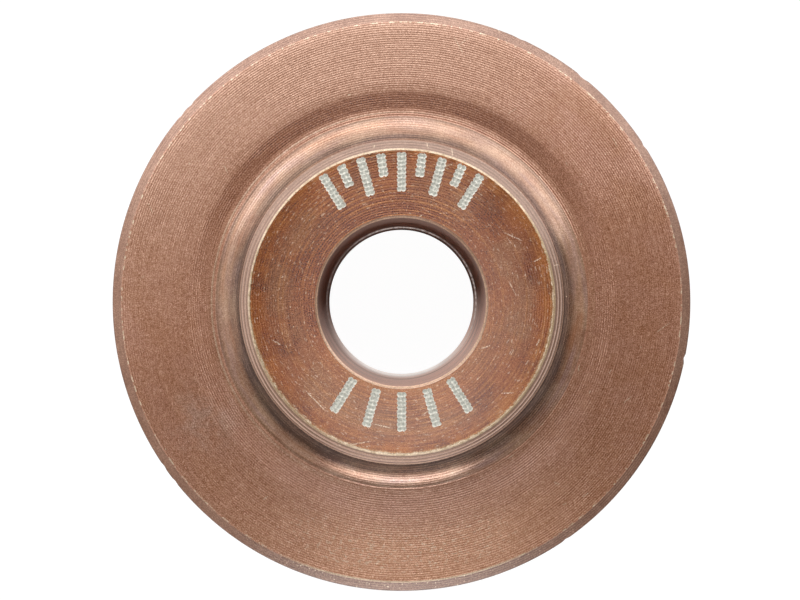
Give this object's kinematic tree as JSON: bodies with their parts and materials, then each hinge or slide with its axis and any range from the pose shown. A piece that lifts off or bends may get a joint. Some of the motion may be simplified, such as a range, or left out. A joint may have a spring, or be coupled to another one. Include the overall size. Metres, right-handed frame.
{
  "type": "pipe cutter wheel",
  "caption": "Pipe cutter wheel: a turned steel disc with a thick bored hub, a hollow root, a tapering rim and a ground cutting edge.",
  "frame": {"origin": "middle of the bore, in the plane of the cutting edge", "axes": "+Z along the bore, out of the marked hub face; +Y points at the middle of the upper row of marks"},
  "size_m": [0.032, 0.032, 0.019],
  "materials": {
    "bronzed_steel": "fine turned steel with a thin bronze-brown coating, worn bright on the hub's edges"
  },
  "bodies": {
    "root": {"cutter_wheel": "bronzed_steel"}
  },
  "joints": []
}
